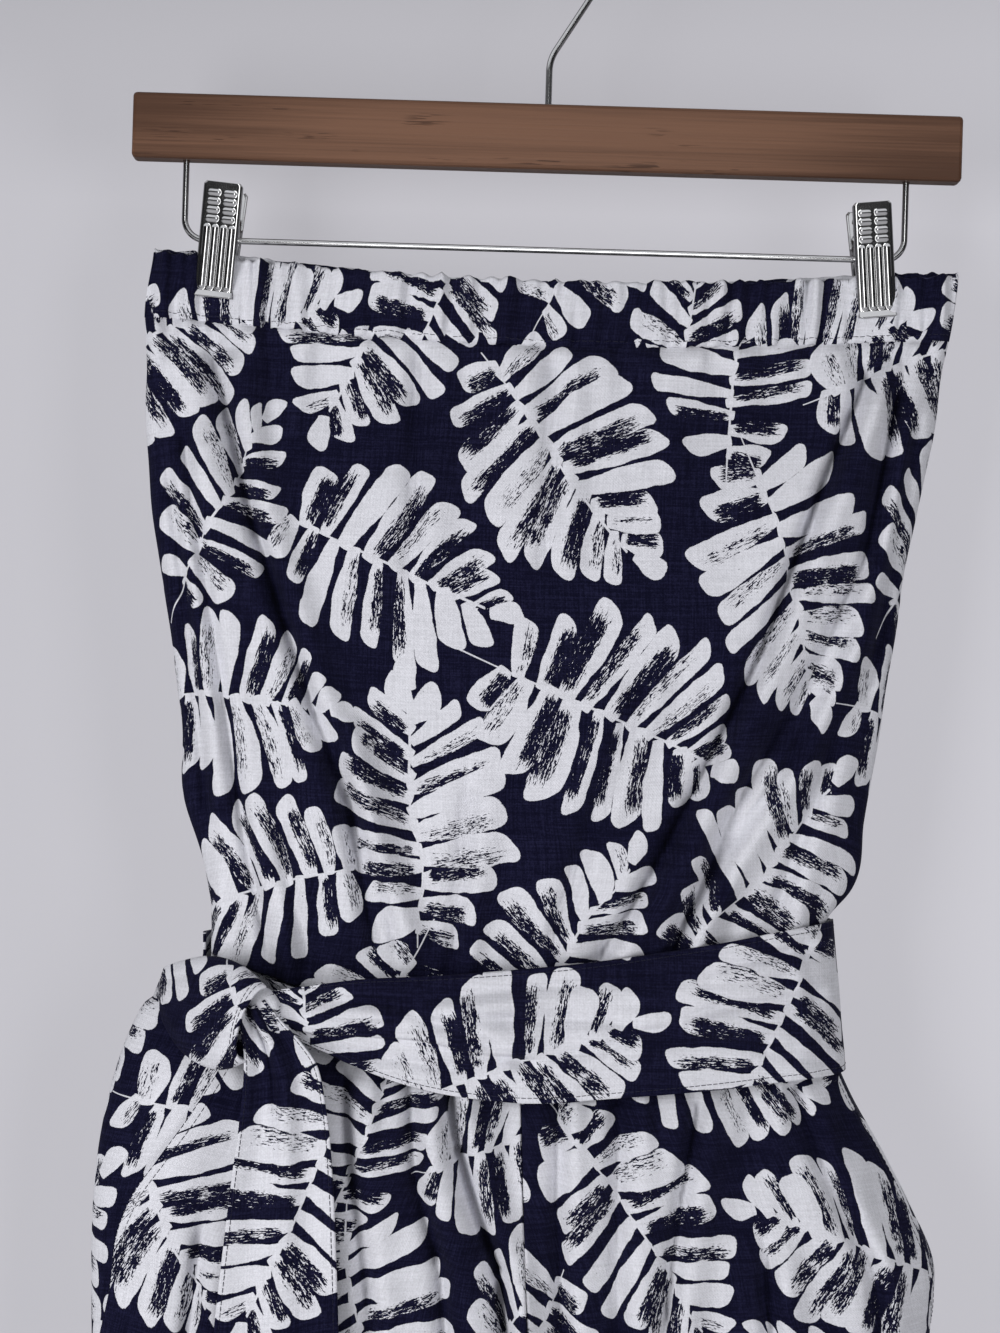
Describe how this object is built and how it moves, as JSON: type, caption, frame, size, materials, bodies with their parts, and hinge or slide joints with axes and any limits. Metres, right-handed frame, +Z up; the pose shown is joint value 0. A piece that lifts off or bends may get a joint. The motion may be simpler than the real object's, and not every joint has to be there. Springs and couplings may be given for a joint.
{
  "type": "strapless romper on a clip hanger",
  "caption": "Leaf-print linen romper with an elastic top and a knotted self sash, held by the clips of a wooden hanger with a wire hook.",
  "frame": {"origin": "highest point inside the bend of the hook, where a rail or peg carries the hanger", "axes": "+Z up, +X to the right of someone facing the front of the garment, +Y towards the wall behind it; the front faces -Y"},
  "size_m": [0.3632, 0.0892, 0.8427],
  "materials": {
    "linen": "plain-woven linen, dark navy printed with off-white leaves, matt",
    "wood": "brown stained wood with a low satin lacquer",
    "steel": "bright plated steel"
  },
  "bodies": {
    "root": {"hanger_bar": "wood", "hanger_hook": "steel", "hanger_wire": "steel", "clip_left_front": "steel", "clip_left_back": "steel", "clip_left_spring": "steel", "clip_right_front": "steel", "clip_right_back": "steel", "clip_right_spring": "steel", "casing_front": "linen", "casing_back": "linen", "bodice_front": "linen", "bodice_back": "linen", "leg_front_left": "linen", "leg_front_right": "linen", "leg_back_left": "linen", "leg_back_right": "linen", "pocket_left": "linen", "pocket_right": "linen", "sash_front": "linen", "sash_back": "linen", "sash_wrap": "linen", "sash_knot": "linen", "sash_tail": "linen", "sash_tail_under": "linen"}
  },
  "joints": []
}
